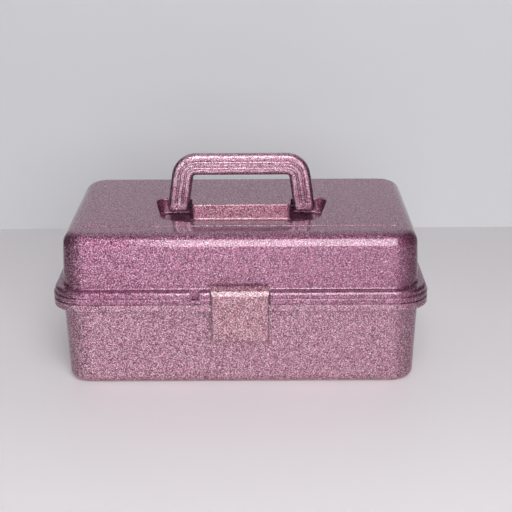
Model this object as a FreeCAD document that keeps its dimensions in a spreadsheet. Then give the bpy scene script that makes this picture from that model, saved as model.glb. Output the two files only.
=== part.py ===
"""Hinged vanity case of moulded plastic, with a carry handle folding into a well in its lid.

Millimetres. X runs across the front, Y from the front to the back, Z up. The origin is the middle
of the underside of the base. The case is drawn closed, latched, with its handle standing up.

Two trays ride inside on a parallel linkage. On each side a front arm hangs on the base wall and a
bracket is screwed inside the lid. Both have the same two tray pivots at the same places about
their own centre, so the trays stay level while the lid swings them up and back.
"""
import FreeCAD, Part
import math
import os
import re

import Sketcher

# ---------------------------------------------------------------- driving dimensions
SIZES = [
    ("rim_width", 330, "width over the rims"),
    ("rim_depth", 220, "depth over the rims"),
    ("rim_overhang", 8, "how far the rims stand out from the walls"),
    ("rim_corner", 31, "plan radius of the rim corners"),
    ("wall_corner", 24, "plan radius of the wall corners at the seam"),
    ("case_height", 138, "underside to the top of the lid"),
    ("seam_height", 78, "underside to the joint between base and lid"),
    ("wall", 2.5, "thickness of the moulded walls"),
    ("base_draft", 2.5, "draft of the base walls, degrees"),
    ("lid_draft", 2.3, "draft of the lid walls, degrees"),
    ("base_rim_height", 6.5, "thickness of the rim on the base"),
    ("lid_rim_height", 11.4, "seam up to the crest of the lid rim"),
    ("base_rim_round", 1.2, "rounding of the lower edge of the base rim"),
    ("lid_rim_round", 3, "rounding of the crest of the lid rim"),
    ("lip_height", 5.6, "height of the lip along the foot of the lid rim"),
    ("lip_stand", 1.4, "how far that lip stands out from the rim above it"),
    ("lip_round", 0.9, "rounding of the upper edge of the lip"),
    ("seam_gap", 1, "height of the shadow gap between the rims"),
    ("seam_round", 0.4, "rounding of the edges beside the shadow gap"),
    ("neck_round", 1.5, "fillet where the lid wall meets its rim"),
    ("base_round", 8, "outside rounding under the base"),
    ("lid_round", 12, "outside rounding over the lid"),
    ("overcut", 2, "how far a cut runs past the face that it opens"),
    ("full_round", 0.96, "radius of a nearly half-round end, as a share of its half width"),
    ("tongue_height", 2, "height of the locating tongue on the base"),
    ("tongue_thick", 1.1, "thickness of the locating tongue"),
    ("tongue_gap", 0.3, "clearance round the locating tongue"),
    ("panel_side_in", 18, "seam walls in to the sides of the raised panel on the lid"),
    ("panel_front_in", 30, "seam wall in to the front edge of the panel"),
    ("panel_back_in", 26, "seam wall in to the back edge of the panel"),
    ("panel_rise", 0.6, "height of the panel"),
    ("panel_round", 0.5, "rounding of the edges of the panel"),
    ("panel_corner", 2, "plan radius of the panel corners"),
    # the well in the lid and the handle that lies in it
    ("well_depth", 14, "depth of the well"),
    ("well_front", 64.5, "centre to the front edge of the well"),
    ("well_front_half", 30, "half width of the straight front of the well"),
    ("well_shoulder_half", 70, "half width of the well at its shoulders"),
    ("well_shoulder_front", 54, "centre to the shoulders of the well"),
    ("well_back", 5, "centre to the middle back edge of the well"),
    ("pocket_half", 80.8, "half width over the two handle pockets"),
    ("pocket_back", 16.5, "centre to the back of the handle pockets"),
    ("block_half", 46.2, "half width of the block between the pockets"),
    ("well_front_corner", 40, "plan radius where the front of the well turns back"),
    ("well_shoulder_corner", 20, "plan radius of the well shoulders"),
    ("pocket_corner", 9, "plan radius of the outer corners of the handle pockets"),
    ("pocket_inner_corner", 5, "plan radius of the inner corners of the handle pockets"),
    ("block_corner", 4, "plan radius of the corners of the block between the pockets"),
    ("well_floor_round", 2, "fillet round the floor of the well"),
    ("well_edge_round", 1, "rounding of the upper edge of the well"),
    ("handle_back", 8, "centre to the handle pivot"),
    ("handle_sink", 4.6, "lid top down to the handle pivot"),
    ("handle_rise", 46, "lid top up to the outside of the handle bar"),
    ("handle_strip", 19.8, "width of the handle strip"),
    ("handle_thick", 10, "thickness of the handle"),
    ("handle_foot", 4.5, "pivot down to the end of the handle feet"),
    ("handle_foot_half", 59.4, "half spacing of the handle feet"),
    ("handle_lean", 8.3, "how far the handle legs lean inwards, degrees"),
    ("handle_bend", 12.5, "bend radius of the middle of the handle strip"),
    ("handle_edge", 3.6, "rounding along the handle edges"),
    ("handle_foot_corner", 4.5, "rounding of the corners of the handle feet"),
    ("groove_width", 2.7, "width of a handle groove"),
    ("groove_offset", 2.7, "middle of the strip to the middle of a groove"),
    ("groove_depth", 1.3, "depth of a handle groove"),
    ("groove_round", 1.2, "rounding of the floor of a handle groove"),
    ("groove_start", 6.5, "end of the foot to the start of the grooves"),
    ("handle_pin_radius", 2, "radius of the handle pins"),
    ("pin_land", 1.6, "how far a handle pin reaches into the wall of its pocket"),
    ("pin_depth", 12, "how far a handle pin reaches into its foot of the handle"),
    # hinge of the lid
    ("hinge_behind", 4, "rim to the lid hinge axis"),
    ("knuckle_radius", 3.5, "radius of the hinge knuckles"),
    ("knuckle_length", 12, "length of one knuckle"),
    ("knuckle_gap", 0.4, "gap between two knuckles"),
    ("knuckle_web_gap", 0.3, "seam to the web of a knuckle"),
    ("hinge_station", 90, "centre of the case to a hinge"),
    ("hinge_pin_radius", 1.6, "radius of a lid hinge pin"),
    ("running", 0.05, "radial clearance of every pin in its hole"),
    # latch and padlock eye
    ("latch_width", 49.5, "width of the latch"),
    ("latch_gap", 1.6, "latch to the ends of the interrupted lid rim"),
    ("latch_proud", 3.2, "rim to the front face of the latch"),
    ("latch_plate", 2.4, "thickness of the latch plate"),
    ("latch_drop", 33, "seam down to the lower edge of the latch"),
    ("latch_brow_rise", 12.8, "seam up to the front edge of the brow over the latch"),
    ("latch_brow_round", 2, "rounding of the front edge of the brow"),
    ("latch_bevel", 2.3, "depth of the bevel below the brow"),
    ("latch_bevel_drop", 3.3, "height of that bevel"),
    ("latch_axis_in", 3.2, "rim back to the latch axis"),
    ("latch_axis_rise", 11.6, "seam up to the latch axis"),
    ("latch_barrel", 4.5, "radius of the latch barrel"),
    ("latch_crown_ahead", 0.1, "latch axis forward to the start of the brow"),
    ("latch_crown_round", 0.7, "rounding where the brow starts"),
    ("latch_hollow", 2.7, "radius of the hollow under the latch barrel"),
    ("latch_cheek", 2.6, "thickness of the latch cheeks"),
    ("latch_edge", 1.4, "rounding of the outer edges of the latch"),
    ("latch_pin_radius", 1.2, "radius of the latch pin"),
    ("lug_radius", 2.1, "radius of the lugs that carry the latch"),
    ("lug_inner", 9, "centre to the near side of a latch lug"),
    ("lug_width", 6, "width of a latch lug"),
    ("lug_clear", 0.4, "gap between a lug and its slot in the latch"),
    ("hook_half", 18, "half width of the latch hook"),
    ("hook_reach", 5.5, "rim back to the tip of the latch hook"),
    ("hook_drop", 1, "base rim down to the latch hook"),
    ("hook_height", 5, "height of the latch hook at its root"),
    ("hook_nose", 1.7, "height of the latch hook at its tip"),
    ("hook_slope", 0.5, "rise of the latch hook from its tip to its root"),
    ("hook_upper_round", 0.5, "rounding of the upper edge of the hook tip"),
    ("hook_lower_round", 0.7, "rounding of the lower edge of the hook tip"),
    ("latch_pin_short", 0.5, "side of the latch in to the end of its pin"),
    ("lock_across", 39.5, "centre to the padlock notch"),
    ("lock_width", 9, "width of the padlock notch"),
    ("lock_floor", 4, "seam to the floor of the padlock notch"),
    ("lock_hole_radius", 2.75, "radius of the padlock hole"),
    ("lock_hole_in", 4, "rim back to the padlock hole"),
    # trays and the linkage that carries them
    ("tray_side_gap", 10.5, "seam walls in to the sides of the trays"),
    ("tray_front_gap", 11.5, "seam wall in to the front of the trays"),
    ("tray_back_reach", 68, "lid hinge forward to the back of the trays"),
    ("tray_corner", 12, "plan radius of the tray corners"),
    ("tray_wall", 2, "thickness of the tray walls"),
    ("tray_round", 4, "rounding under the trays"),
    ("tray_rib", 1.8, "thickness of the rib along a tray"),
    ("lower_tray_drop", 30, "seam down to the underside of the lower tray"),
    ("lower_tray_height", 28, "height of the lower tray"),
    ("tray_gap", 2, "lower tray up to the upper tray"),
    ("upper_tray_height", 30, "height of the upper tray"),
    ("rib_behind", 13, "front pivot of a tray back to the rib along it"),
    ("cell_corner", 3, "corner radius of the tray cells beside the rib"),
    ("divider_thick", 1.5, "thickness of a loose divider"),
    ("divider_play", 0.3, "clearance round a loose divider"),
    ("divider_groove", 0.9, "depth of the divider grooves"),
    ("divider_short", 3, "tray edge down to the top of a divider"),
    ("divider_pitch", 72, "spacing of the divider grooves"),
    ("pivot_shift", 78, "front arm centre to lid hinge, front to back"),
    ("pivot_drop", 6, "lid hinge down to the front arm centre"),
    ("low_pivot_run", 59, "centre of a link to the lower tray pivot, front to back"),
    ("low_pivot_fall", 3, "centre of a link down to the lower tray pivot"),
    ("high_pivot_run", 89, "centre of a link to the upper tray pivot, front to back"),
    ("high_pivot_rise", 14, "centre of a link up to the upper tray pivot"),
    ("link_thick", 2.5, "thickness of the arms and brackets"),
    ("link_gap", 1.1, "tray to the arms"),
    ("arm_eye", 5.5, "half width of an arm"),
    ("arm_crank_rise", 6.6, "lower tray pivot up to the crank of the arm"),
    ("arm_crank_round", 16.5, "radius inside the crank of an arm"),
    ("ear_fillet", 2.2, "fillet above the rear ear of the lower tray"),
    ("bracket_eye", 6, "pivot or screw to the edge of a bracket"),
    ("rivet_radius", 2, "radius of a rivet"),
    ("rivet_head", 3.1, "radius of a rivet head"),
    ("rivet_crown", 2.2, "radius of the flat top of a rivet head"),
    ("rivet_head_height", 1.3, "height of a rivet head"),
    ("flush_head", 3.5, "radius of the sunk heads"),
    ("flush_head_height", 1, "height of the sunk heads"),
    ("flush_play", 0.2, "clearance round the sunk heads"),
    ("boss_radius", 5.5, "radius of the arm bosses in the base"),
    ("boss_gap", 0.2, "arm to its boss"),
    ("boss_root", 1.2, "how far a boss runs into the wall behind it"),
    ("screw_radius", 1.4, "radius of the bracket screws"),
    ("screw_boss_radius", 4, "radius of the screw bosses in the lid"),
    ("screw_a_ahead", 68, "lid hinge forward to the upper bracket screw"),
    ("screw_a_above", 25, "lid hinge up to the upper bracket screw"),
    ("screw_b_ahead", 42, "lid hinge forward to the lower bracket screw"),
    ("screw_b_above", 12, "lid hinge up to the lower bracket screw"),
]

SHARP = None
TOUCH = 0.01
EDGE_MARGIN = 1

doc = FreeCAD.newDocument("vanity_case")
sheet = doc.addObject("Spreadsheet::Sheet", "Sizes")
for row, (alias, value, note) in enumerate(SIZES, start=1):
    sheet.set("A%d" % row, note)
    sheet.set("B%d" % row, str(value))
    sheet.setAlias("B%d" % row, alias)
doc.recompute()
ALIASES = set(alias for alias, value, note in SIZES)


# ---------------------------------------------------------------- places worked out from them
HINGE_Y = "(rim_depth / 2 + hinge_behind)"
HINGE_Z = "seam_height"
ARM_Y = "(rim_depth / 2 + hinge_behind - pivot_shift)"
ARM_Z = "(seam_height - pivot_drop)"
TRAY_SIDE = "(rim_width / 2 - rim_overhang - tray_side_gap)"
TRAY_FRONT = "(rim_depth / 2 - rim_overhang - tray_front_gap)"
TRAY_BACK = "(rim_depth / 2 + hinge_behind - tray_back_reach)"
LOWER_TRAY_BOTTOM = "(seam_height - lower_tray_drop)"
UPPER_TRAY_BOTTOM = "(seam_height - lower_tray_drop + lower_tray_height + tray_gap)"
LINK_INNER = "(%s + link_gap)" % TRAY_SIDE
LINK_OUTER = "(%s + link_gap + link_thick)" % TRAY_SIDE
HANDLE_Z = "(case_height - handle_sink)"
HANDLE_PIN_END = "(handle_foot_half - handle_strip / 2 + pin_depth)"
LATCH_Y = "(latch_axis_in - rim_depth / 2)"
LATCH_Z = "(seam_height + latch_axis_rise)"
LATCH_FRONT = "(-rim_depth / 2 - latch_proud)"
WALL_HALF_X = "(rim_width / 2 - rim_overhang)"
WALL_HALF_Y = "(rim_depth / 2 - rim_overhang)"
BASE_LEAN = "tan(base_draft * 1deg)"
LID_LEAN = "tan(lid_draft * 1deg)"
ARM_BOSS_END = WALL_HALF_X + " - pivot_drop * %s - wall + boss_root" % BASE_LEAN
LOW_FRONT = (ARM_Y + " - low_pivot_run", ARM_Z + " - low_pivot_fall")
HIGH_FRONT = (ARM_Y + " - high_pivot_run", ARM_Z + " + high_pivot_rise")
LOW_REAR = (HINGE_Y + " - low_pivot_run", "seam_height - low_pivot_fall")
HIGH_REAR = (HINGE_Y + " - high_pivot_run", "seam_height + high_pivot_rise")
SCREWS = [(HINGE_Y + " - screw_a_ahead", "seam_height + screw_a_above"),
          (HINGE_Y + " - screw_b_ahead", "seam_height + screw_b_above")]
SCREW_STOPS = [WALL_HALF_X + " - screw_a_above * %s - wall + boss_root" % LID_LEAN,
               WALL_HALF_X + " - screw_b_above * %s - wall + boss_root" % LID_LEAN]


def sheet_name(word):
    return "Sizes." + word.group() if word.group() in ALIASES else word.group()


def full(text):
    """Puts the sheet's name before each alias in an expression."""
    return re.sub(r"[a-z][a-z_]*", sheet_name, text)


def now(text):
    """The present value of an expression."""
    value = sheet.evalExpression(full(text))
    return float(getattr(value, "Value", value))


def bind(thing, **properties):
    """Ties properties to expressions; a double underscore stands for a dot."""
    for name, text in properties.items():
        thing.setExpression(name.replace("__", "."), full(text))


# ---------------------------------------------------------------- drawing helpers
def new_body(label):
    body = doc.addObject("PartDesign::Body", label)
    body.Label = label
    return body


def new_sketch(body, name, plane, height):
    """A sketch on one of the body's own origin planes, raised along its normal."""
    sketch = body.newObject("Sketcher::SketchObject", name)
    support = [item for item in body.Origin.OriginFeatures if item.Role == plane + "_Plane"][0]
    sketch.AttachmentSupport = (support, [""])
    sketch.MapMode = "FlatFace"
    bind(sketch, AttachmentOffset__Base__z=height)
    return sketch


def fix_point(sketch, geometry, place, across, up):
    """Holds one point of a sketch at two expressions measured from the origin."""
    for kind, text in (("DistanceX", across), ("DistanceY", up)):
        value = now(text)
        forward = value >= 0
        ends = (-1, 1, geometry, place) if forward else (geometry, place, -1, 1)
        row = sketch.addConstraint(Sketcher.Constraint(kind, *ends, abs(value)))
        sketch.setExpression("Constraints[%d]" % row, full(text if forward else "-(%s)" % text))


def circle(sketch, across, up, radius):
    centre = FreeCAD.Vector(now(across), now(up), 0)
    ring = sketch.addGeometry(Part.Circle(centre, FreeCAD.Vector(0, 0, 1), now(radius)), False)
    fix_point(sketch, ring, 3, across, up)
    row = sketch.addConstraint(Sketcher.Constraint("Radius", ring, now(radius)))
    sketch.setExpression("Constraints[%d]" % row, full(radius))


def outline(sketch, corners):
    """A closed outline through corners (across, up, radius); every value is an expression.

    Each corner point is held where two sides meet, and an arc tangent to both rounds it off.
    """
    points = [FreeCAD.Vector(now(across), now(up), 0) for across, up, radius in corners]
    count = len(points)
    starts = list(points)
    ends = list(points)
    arcs = {}
    for index, (across, up, radius) in enumerate(corners):
        if radius is SHARP:
            continue
        corner = points[index]
        back = (points[index - 1] - corner).normalize()
        ahead = (points[(index + 1) % count] - corner).normalize()
        half = math.acos(max(-1, min(1, back * ahead))) / 2
        reach = now(radius) / math.tan(half)
        ends[index] = corner + back * reach
        starts[index] = corner + ahead * reach
        middle = corner + (back + ahead).normalize() * (now(radius) / math.sin(half))
        turns_left = back.cross(ahead).z < 0
        first, last = (ends[index], starts[index]) if turns_left else (starts[index], ends[index])
        angles = [math.atan2(spot.y - middle.y, spot.x - middle.x) for spot in (first, last)]
        arcs[index] = (middle, angles, turns_left)
    lines = []
    for index in range(count):
        side = Part.LineSegment(starts[index], ends[(index + 1) % count])
        lines.append(sketch.addGeometry(side, False))
    for index, (across, up, radius) in enumerate(corners):
        before = lines[index - 1]
        after = lines[index]
        if radius is SHARP:
            sketch.addConstraint(Sketcher.Constraint("Coincident", before, 2, after, 1))
            fix_point(sketch, after, 1, across, up)
            continue
        middle, angles, turns_left = arcs[index]
        ring = Part.Circle(middle, FreeCAD.Vector(0, 0, 1), now(radius))
        arc = sketch.addGeometry(Part.ArcOfCircle(ring, angles[0], angles[1]), False)
        come, leave = (1, 2) if turns_left else (2, 1)
        sketch.addConstraint(Sketcher.Constraint("Tangent", before, 2, arc, come))
        sketch.addConstraint(Sketcher.Constraint("Tangent", arc, leave, after, 1))
        row = sketch.addConstraint(Sketcher.Constraint("Radius", arc, now(radius)))
        sketch.setExpression("Constraints[%d]" % row, full(radius))
        point = sketch.addGeometry(Part.Point(points[index]), True)
        sketch.addConstraint(Sketcher.Constraint("PointOnObject", point, 1, before))
        sketch.addConstraint(Sketcher.Constraint("PointOnObject", point, 1, after))
        fix_point(sketch, point, 1, across, up)


def rectangle(sketch, left, front, right, back, radius=SHARP):
    front_side = [(left, front, radius), (right, front, radius)]
    back_side = [(right, back, radius), (left, back, radius)]
    outline(sketch, front_side + back_side)


def solid_feature(body, kind, sketch, length, reverse, draft, symmetric):
    feature = body.newObject("PartDesign::" + kind, sketch.Name + "_" + kind.lower())
    feature.Profile = sketch
    feature.Reversed = reverse
    feature.Midplane = symmetric
    bind(feature, Length=length)
    if draft:
        bind(feature, TaperAngle=draft)
    sketch.Visibility = False
    return feature


def settle(feature):
    """Works the feature out and stops where it failed."""
    doc.recompute()
    if "Invalid" in feature.State or "Error" in feature.State:
        raise RuntimeError("%s is %s" % (feature.Name, feature.State))


def pad(body, sketch, length, reverse=False, draft=None, symmetric=False):
    """Adds material along the sketch's normal, or against it where reversed."""
    settle(solid_feature(body, "Pad", sketch, length, reverse, draft, symmetric))


def pocket(body, sketch, length, reverse=False, draft=None, symmetric=False):
    """Removes material against the sketch's normal, or along it where reversed."""
    before = body.Shape.Volume
    settle(solid_feature(body, "Pocket", sketch, length, reverse, draft, symmetric))
    if not body.Shape.Volume < before:
        raise RuntimeError(sketch.Name + " cuts nothing")


def round_edges(body, name, radius, wanted):
    """Rounds every edge of the body so far that the test picks out."""
    tip = body.Tip
    names = ["Edge%d" % number for number, edge in enumerate(tip.Shape.Edges, start=1) if wanted(edge)]
    if not names:
        raise RuntimeError(name + " finds no edge")
    fillet = body.newObject("PartDesign::Fillet", name)
    fillet.Base = (tip, names)
    bind(fillet, Radius=radius)
    settle(fillet)


def level(edge, height):
    """True where the whole edge lies at one height."""
    box = edge.BoundBox
    return abs(box.ZMin - height) < TOUCH and abs(box.ZMax - height) < TOUCH


def reaches(edge, half_x, half_y):
    """True where some of the edge is at or beyond the box of these half sizes."""
    box = edge.BoundBox
    return max(-box.XMin, box.XMax) > half_x or max(-box.YMin, box.YMax) > half_y


# ---------------------------------------------------------------- what the two shells share
def wall_outline(sketch, inset):
    """The plan of the walls at the seam, drawn in by an inset."""
    half_x = WALL_HALF_X + " - (%s)" % inset
    half_y = WALL_HALF_Y + " - (%s)" % inset
    rectangle(sketch, "-(%s)" % half_x, "-(%s)" % half_y, half_x, half_y, "wall_corner - (%s)" % inset)


def rim_outline(sketch, inset):
    """The plan of the rims, drawn in by an inset."""
    half_x = "(rim_width / 2 - (%s))" % inset
    half_y = "(rim_depth / 2 - (%s))" % inset
    rectangle(sketch, "-" + half_x, "-" + half_y, half_x, half_y, "rim_corner - (%s)" % inset)


def knuckle(body, name, start, side):
    """One hinge knuckle with the web that joins it to its rim; side is 1 above the seam, -1 below."""
    sketch = new_sketch(body, name, "YZ", start)
    radius = "knuckle_radius"
    near = HINGE_Y + " - " + radius
    far = HINGE_Y + " + " + radius
    root = "rim_depth / 2 - rim_overhang / 2"
    outer = "seam_height + (%d) * knuckle_radius" % side
    inner = "seam_height - (%d) * knuckle_radius" % side
    web = "seam_height + (%d) * knuckle_web_gap" % side
    bend = radius + " * full_round"
    corners = [(root, outer, SHARP), (far, outer, bend), (far, inner, bend)]
    corners += [(near, inner, bend), (near, web, SHARP), (root, web, SHARP)]
    outline(sketch, corners if side < 0 else corners[::-1])
    circle(sketch, HINGE_Y, HINGE_Z, "hinge_pin_radius + running")
    pad(body, sketch, "knuckle_length")


def stub(body, name, side, across, up, radius, start, stop):
    """A round boss on a side wall, from one distance off the centre plane to another."""
    sketch = new_sketch(body, name, "YZ", "(%d) * (%s)" % (side, start))
    circle(sketch, across, up, radius)
    pad(body, sketch, "%s - (%s)" % (stop, start), reverse=side < 0)


def bore(body, name, side, across, up, radius, start, stop):
    """A round hole along X, from one distance off the centre plane to another."""
    sketch = new_sketch(body, name, "YZ", "(%d) * (%s)" % (side, start))
    circle(sketch, across, up, radius)
    pocket(body, sketch, "%s - (%s)" % (stop, start), reverse=side > 0)


# ---------------------------------------------------------------- base
def base_shell():
    """Drafted tub with a rim, a locating tongue, four hinge knuckles and the bosses of the arms."""
    body = new_body("base_shell")
    walls = new_sketch(body, "base_walls", "XY", "seam_height")
    wall_outline(walls, "0")
    pad(body, walls, "seam_height", reverse=True, draft="-base_draft")
    rim = new_sketch(body, "base_rim", "XY", "seam_height")
    rim_outline(rim, "0")
    pad(body, rim, "base_rim_height", reverse=True)
    half_x = now(WALL_HALF_X) + EDGE_MARGIN
    half_y = now(WALL_HALF_Y) + EDGE_MARGIN
    low = now("seam_height - base_rim_height")
    high = now("seam_height")

    round_edges(body, "base_rim_lower", "base_rim_round",
                lambda edge: level(edge, low) and reaches(edge, half_x, half_y))
    round_edges(body, "base_rim_upper", "seam_round",
                lambda edge: level(edge, high) and reaches(edge, half_x, half_y))
    inside = new_sketch(body, "base_inside", "XY", "seam_height")
    wall_outline(inside, "wall")
    pocket(body, inside, "seam_height - wall", draft="-base_draft")
    round_edges(body, "base_floor_round", "base_round - wall", lambda edge: level(edge, now("wall")))
    round_edges(body, "base_bottom_round", "base_round", lambda edge: level(edge, 0))
    tongue = new_sketch(body, "base_tongue", "XY", "seam_height")
    wall_outline(tongue, "wall - tongue_thick")
    wall_outline(tongue, "wall")
    pad(body, tongue, "tongue_height")
    for station in (-1, 1):
        for step in (-1, 1):
            middle = "(%d) * hinge_station + (%d) * (knuckle_length + knuckle_gap)" % (station, step)
            knuckle(body, "base_knuckle", middle + " - knuckle_length / 2", -1)
    for side in (-1, 1):
        stub(body, "arm_boss", side, ARM_Y, ARM_Z, "boss_radius", LINK_OUTER + " + boss_gap", ARM_BOSS_END)
        bore(body, "arm_boss_hole", side, ARM_Y, ARM_Z, "rivet_radius + running", LINK_OUTER, ARM_BOSS_END)
    hole = new_sketch(body, "base_lock_hole", "XY", "seam_height - base_rim_height - overcut")
    circle(hole, "-lock_across", "lock_hole_in - rim_depth / 2", "lock_hole_radius")
    pocket(body, hole, "base_rim_height + 2 * overcut", reverse=True)
    return body


# ---------------------------------------------------------------- lid
def well_outline(sketch, grow):
    """The plan of the well, swelling into a pocket at each end; grow adds a wall round it."""
    half = [
        ("well_front_half", "-well_front - (%s)" % grow, "well_front_corner"),
        ("well_shoulder_half + (%s)" % grow, "-well_shoulder_front - (%s)" % grow, "well_shoulder_corner"),
        ("pocket_half + (%s)" % grow, "pocket_back + (%s)" % grow, "pocket_corner"),
        ("block_half - (%s)" % grow, "pocket_back + (%s)" % grow, "pocket_inner_corner"),
        ("block_half - (%s)" % grow, "-well_back + (%s)" % grow, "block_corner"),
    ]
    mirrored = [("-(%s)" % across, up, radius) for across, up, radius in reversed(half)]
    outline(sketch, half + mirrored)


def lid_shell():
    """Drafted lid with a stepped rim, a raised panel, the handle well, two lugs and two knuckles."""
    body = new_body("lid_shell")
    rise = "case_height - seam_height"
    walls = new_sketch(body, "lid_walls", "XY", "seam_height")
    wall_outline(walls, "0")
    pad(body, walls, rise, draft="-lid_draft")
    rim = new_sketch(body, "lid_rim", "XY", "seam_height")
    rim_outline(rim, "lip_stand")
    pad(body, rim, "lid_rim_height")
    lip = new_sketch(body, "lid_lip", "XY", "seam_height + seam_gap")
    rim_outline(lip, "0")
    pad(body, lip, "lip_height - seam_gap")
    crest = now("seam_height + lid_rim_height")
    lip_top = now("seam_height + lip_height")
    half_x = now(WALL_HALF_X) + EDGE_MARGIN
    half_y = now(WALL_HALF_Y) + EDGE_MARGIN
    round_edges(body, "lid_rim_crest", "lid_rim_round",
                lambda edge: level(edge, crest) and reaches(edge, half_x, half_y))
    proud_x = now("rim_width / 2 - lip_stand / 2")
    proud_y = now("rim_depth / 2 - lip_stand / 2")
    round_edges(body, "lid_lip_upper", "lip_round",
                lambda edge: level(edge, lip_top) and reaches(edge, proud_x, proud_y))
    round_edges(body, "lid_lip_lower", "seam_round",
                lambda edge: level(edge, now("seam_height + seam_gap")) and reaches(edge, proud_x, proud_y))
    round_edges(body, "lid_neck", "neck_round",
                lambda edge: level(edge, crest) and not reaches(edge, half_x, half_y))
    inside = new_sketch(body, "lid_inside", "XY", "seam_height")
    wall_outline(inside, "wall")
    pocket(body, inside, rise + " - wall", reverse=True, draft="-lid_draft")
    round_edges(body, "lid_ceiling_round", "lid_round - wall",
                lambda edge: level(edge, now("case_height - wall")))
    round_edges(body, "lid_top_round", "lid_round", lambda edge: level(edge, now("case_height")))
    rebate = new_sketch(body, "lid_rebate", "XY", "seam_height")
    wall_outline(rebate, "wall - tongue_thick - tongue_gap")
    pocket(body, rebate, "tongue_height + tongue_gap", reverse=True)
    panel = new_sketch(body, "panel", "XY", "case_height")
    side_edge = WALL_HALF_X + " - panel_side_in"
    rectangle(panel, "-(%s)" % side_edge, "-(%s - panel_front_in)" % WALL_HALF_Y,
              side_edge, WALL_HALF_Y + " - panel_back_in", "panel_corner")
    pad(body, panel, "panel_rise")
    raised = now("case_height + panel_rise")
    round_edges(body, "panel_edge", "panel_round", lambda edge: level(edge, raised))
    block = new_sketch(body, "well_block", "XY", "case_height - wall / 2")
    well_outline(block, "wall")
    pad(body, block, "well_depth + wall / 2", reverse=True)
    well = new_sketch(body, "well", "XY", "case_height + panel_rise")
    well_outline(well, "0")
    pocket(body, well, "panel_rise + well_depth")
    round_edges(body, "well_floor_fillet", "well_floor_round",
                lambda edge: level(edge, now("case_height - well_depth")))
    inner_x = now(side_edge) - EDGE_MARGIN
    inner_y = now(WALL_HALF_Y + " - panel_front_in") - EDGE_MARGIN
    round_edges(body, "well_upper_edge", "well_edge_round",
                lambda edge: level(edge, raised) and not reaches(edge, inner_x, inner_y))
    gap = new_sketch(body, "latch_gap_cut", "XY", "seam_height")
    half_gap = "(latch_width / 2 + latch_gap)"
    rectangle(gap, "-" + half_gap, "-rim_depth / 2 - overcut",
              half_gap, "-%s - tongue_gap / 2" % WALL_HALF_Y)
    pocket(body, gap, "lid_rim_height + neck_round", reverse=True)
    notch = new_sketch(body, "lock_notch", "XY", "seam_height + lock_floor")
    rectangle(notch, "-lock_across - lock_width / 2", "-rim_depth / 2 - overcut",
              "-lock_across + lock_width / 2", "-%s - tongue_gap" % WALL_HALF_Y)
    pocket(body, notch, "lid_rim_height - lock_floor + neck_round", reverse=True)
    hole = new_sketch(body, "lid_lock_hole", "XY", "seam_height - overcut")
    circle(hole, "-lock_across", "lock_hole_in - rim_depth / 2", "lock_hole_radius")
    pocket(body, hole, "lock_floor + 2 * overcut", reverse=True)
    for side in (-1, 1):
        start = "lug_inner" if side > 0 else "-lug_inner - lug_width"
        lug = new_sketch(body, "latch_lug", "YZ", start)
        tip = LATCH_Y + " - lug_radius"
        root = "-" + WALL_HALF_Y + " + wall"
        low = LATCH_Z + " - lug_radius"
        high = LATCH_Z + " + lug_radius"
        bend = "lug_radius * full_round"
        outline(lug, [(tip, low, bend), (root, low, SHARP), (root, high, SHARP), (tip, high, bend)])
        circle(lug, LATCH_Y, LATCH_Z, "latch_pin_radius + running")
        pad(body, lug, "lug_width")
    for station in (-1, 1):
        knuckle(body, "lid_knuckle", "(%d) * hinge_station - knuckle_length / 2" % station, 1)
    for side in (-1, 1):
        for (across, up), stop in zip(SCREWS, SCREW_STOPS):
            stub(body, "screw_boss", side, across, up, "screw_boss_radius", LINK_OUTER, stop)
            bore(body, "screw_hole", side, across, up, "screw_radius + running", LINK_INNER, stop)
        bore(body, "handle_pin_hole", side, "handle_back", HANDLE_Z, "handle_pin_radius + running",
             "block_half - wall - overcut", "block_half + overcut")
    return body


# ---------------------------------------------------------------- handle
def strip_point(offset, up):
    """Where a line at this distance outside the middle of the right leg passes a height."""
    slope = "tan(handle_lean * 1deg)"
    fall = "(%s) - (%s - handle_foot)" % (up, HANDLE_Z)
    return "handle_foot_half - (%s) * %s + (%s) / cos(handle_lean * 1deg)" % (fall, slope, offset)


def handle_band(sketch, middle, width, lift, end_round):
    """A band of the handle strip: both legs and the bar, from foot to foot."""
    outer = "%s + (%s) / 2" % (middle, width)
    inner = "%s - (%s) / 2" % (middle, width)

    def foot(offset):
        up = "%s - handle_foot + (%s)" % (HANDLE_Z, lift)
        return (strip_point(offset, up), up, end_round)

    def bend(offset):
        up = "case_height + handle_rise - handle_strip / 2 + (%s)" % offset
        return (strip_point(offset, up), up, "handle_bend + (%s)" % offset)

    def across(corner):
        return ("-(%s)" % corner[0], corner[1], corner[2])

    right = [foot(inner), foot(outer), bend(outer)]
    left = [across(bend(outer)), across(foot(outer)), across(foot(inner)), across(bend(inner))]
    outline(sketch, right + left + [bend(inner)])


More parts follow.
